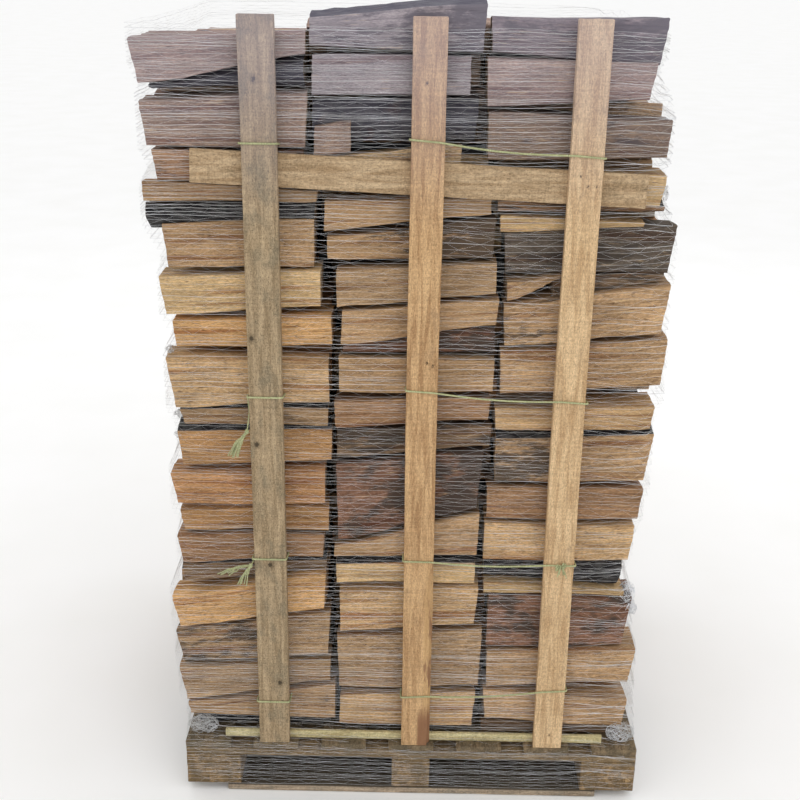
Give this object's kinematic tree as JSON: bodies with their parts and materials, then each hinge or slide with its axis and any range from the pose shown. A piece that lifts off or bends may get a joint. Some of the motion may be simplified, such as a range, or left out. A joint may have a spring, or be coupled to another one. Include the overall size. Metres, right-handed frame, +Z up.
{
  "type": "pallet stack of split firewood",
  "caption": "Split firewood stacked in columns on a wooden block pallet, held by upright battens, slats and twine; stands on the pallet's runners and can be lifted by a fork.",
  "frame": {"origin": "middle of the underside of the middle runner, on the ground", "axes": "+Z up, X along the logs from left to right, -Y towards the front"},
  "size_m": [1.04, 1.0086, 1.69],
  "materials": {
    "weathered": "rough weathered grey-brown boards",
    "grey_batten": "sawn batten, weathered grey-olive",
    "tan_batten": "sawn batten, yellow-tan",
    "slat": "light sawn slat",
    "firewood": "split hardwood faces with bark",
    "twine": "pale green plastic baler twine",
    "net": "white knitted net"
  },
  "bodies": {
    "root": {"deck_board_1": "weathered", "deck_board_2": "weathered", "deck_board_3": "weathered", "deck_board_4": "weathered", "deck_board_5": "weathered", "deck_board_6": "weathered", "deck_board_7": "weathered", "stringer_front": "weathered", "block_front_left": "weathered", "block_front_centre": "weathered", "block_front_right": "weathered", "runner_front": "weathered", "stringer_middle": "weathered", "block_middle_left": "weathered", "block_middle_centre": "weathered", "block_middle_right": "weathered", "runner_middle": "weathered", "stringer_back": "weathered", "block_back_left": "weathered", "block_back_centre": "weathered", "block_back_right": "weathered", "runner_back": "weathered", "batten_front_left": "grey_batten", "batten_front_middle": "tan_batten", "batten_front_right": "tan_batten", "batten_back_left": "grey_batten", "batten_back_middle": "tan_batten", "batten_back_right": "tan_batten", "slat_long": "slat", "slat_bottom": "slat", "logs_left_1": "firewood", "logs_left_2": "firewood", "logs_left_3": "firewood", "logs_left_4": "firewood", "logs_left_5": "firewood", "logs_middle_1": "firewood", "logs_middle_2": "firewood", "logs_middle_3": "firewood", "logs_middle_4": "firewood", "logs_middle_5": "firewood", "logs_right_1": "firewood", "logs_right_2": "firewood", "logs_right_3": "firewood", "logs_right_4": "firewood", "logs_right_5": "firewood", "twine_left_1": "twine", "twine_left_2": "twine", "twine_left_3": "twine", "twine_left_4": "twine", "twine_pair_1": "twine", "twine_pair_2": "twine", "twine_pair_3": "twine", "twine_pair_4": "twine"}
  },
  "joints": []
}
